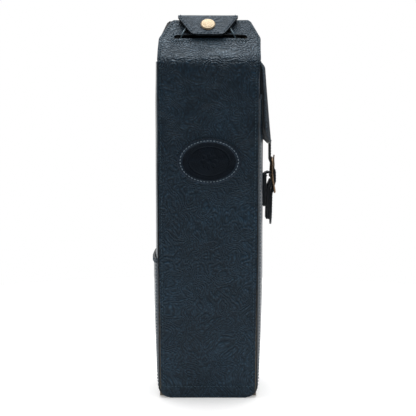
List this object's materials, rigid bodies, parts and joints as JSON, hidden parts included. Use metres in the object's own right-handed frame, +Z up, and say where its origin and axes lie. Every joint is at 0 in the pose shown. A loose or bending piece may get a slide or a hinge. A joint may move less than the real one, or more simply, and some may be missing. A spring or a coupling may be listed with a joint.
{
  "type": "leather bottle carrying case",
  "caption": "Tall slim stiffened leather carrying case with folding roof panels, hand slots, snap tab, buckled front flap and slip pockets.",
  "frame": {"origin": "centre of the flat underside of the base", "axes": "+Z up along the case; +X towards the side with the flap and buckle; -Y towards the side with the oval patch"},
  "size_m": [0.1373, 0.1116, 0.4235],
  "materials": {
    "leather": "blue-black grained leather, semi-matt",
    "leather_trim": "blue-black smooth leather edging",
    "lining": "black suede-like lining",
    "board": "grey-brown stiffening board",
    "snap_metal": "pale gold, engraved",
    "buckle_metal": "antique brass",
    "snap_steel": "plain"
  },
  "bodies": {
    "case": {"right_side_panel": "leather", "left_side_panel": "leather", "front_panel": "leather", "back_panel": "leather", "base_panel": "leather", "right_board": "board", "left_board": "board", "front_board": "board", "back_board": "board", "base_board": "board", "lining_sleeve": "lining", "oval_patch": "leather", "back_pocket_front": "leather", "back_pocket_welt": "leather_trim", "back_pocket_binding": "leather_trim", "front_pocket_front": "leather", "front_pocket_welt": "leather_trim", "front_pocket_binding": "leather_trim", "release_stud": "snap_steel"},
    "right_roof": {"right_roof_panel": "leather", "right_roof_board": "board", "right_roof_lining": "lining", "stud_tongue": "leather", "snap_stud": "snap_metal"},
    "left_roof": {"left_roof_panel": "leather", "left_roof_board": "board", "left_roof_lining": "lining", "grip_wrap": "leather"},
    "tab": {"snap_tab": "leather", "snap_tab_lining": "lining", "snap_cap": "snap_metal", "snap_socket": "snap_metal"},
    "flap": {"front_flap": "leather", "front_flap_lining": "lining"},
    "strap_end": {"strap": "leather", "chape": "leather", "buckle_frame": "buckle_metal", "release_socket": "snap_steel"},
    "prong": {"buckle_prong": "buckle_metal"}
  },
  "joints": [
    {"name": "left_roof_hinge", "type": "hinge", "parent": "case", "child": "left_roof", "pos_m": [0, 0.055, 0.372], "axis": [-1, 0, 0], "range_deg": [0, 45.5]},
    {"name": "right_roof_hinge", "type": "hinge", "parent": "case", "child": "right_roof", "pos_m": [0, -0.055, 0.372], "axis": [1, 0, 0], "range_deg": [0, 45.5]},
    {"name": "snap_tab_hinge", "type": "hinge", "parent": "left_roof", "child": "tab", "pos_m": [0, -0.01326, 0.42347], "axis": [-1, 0, 0], "range_deg": [0, 182.5]},
    {"name": "front_flap_hinge", "type": "hinge", "parent": "case", "child": "flap", "pos_m": [0.0556, 0, 0.372], "axis": [0, -1, 0], "range_deg": [0, 135]},
    {"name": "strap_hinge", "type": "hinge", "parent": "flap", "child": "strap_end", "pos_m": [0.0713, 0, 0.28085], "axis": [0, -1, 0], "range_deg": [0, 60]},
    {"name": "prong_pivot", "type": "hinge", "parent": "strap_end", "child": "prong", "pos_m": [0.0717, 0, 0.2446], "axis": [0, 1, 0], "range_deg": [0, 35]}
  ],
  "couplings": [
    {"joint": "right_roof_hinge", "follows": "left_roof_hinge", "ratio": 1},
    {"joint": "snap_tab_hinge", "follows": "left_roof_hinge", "ratio": 4}
  ]
}
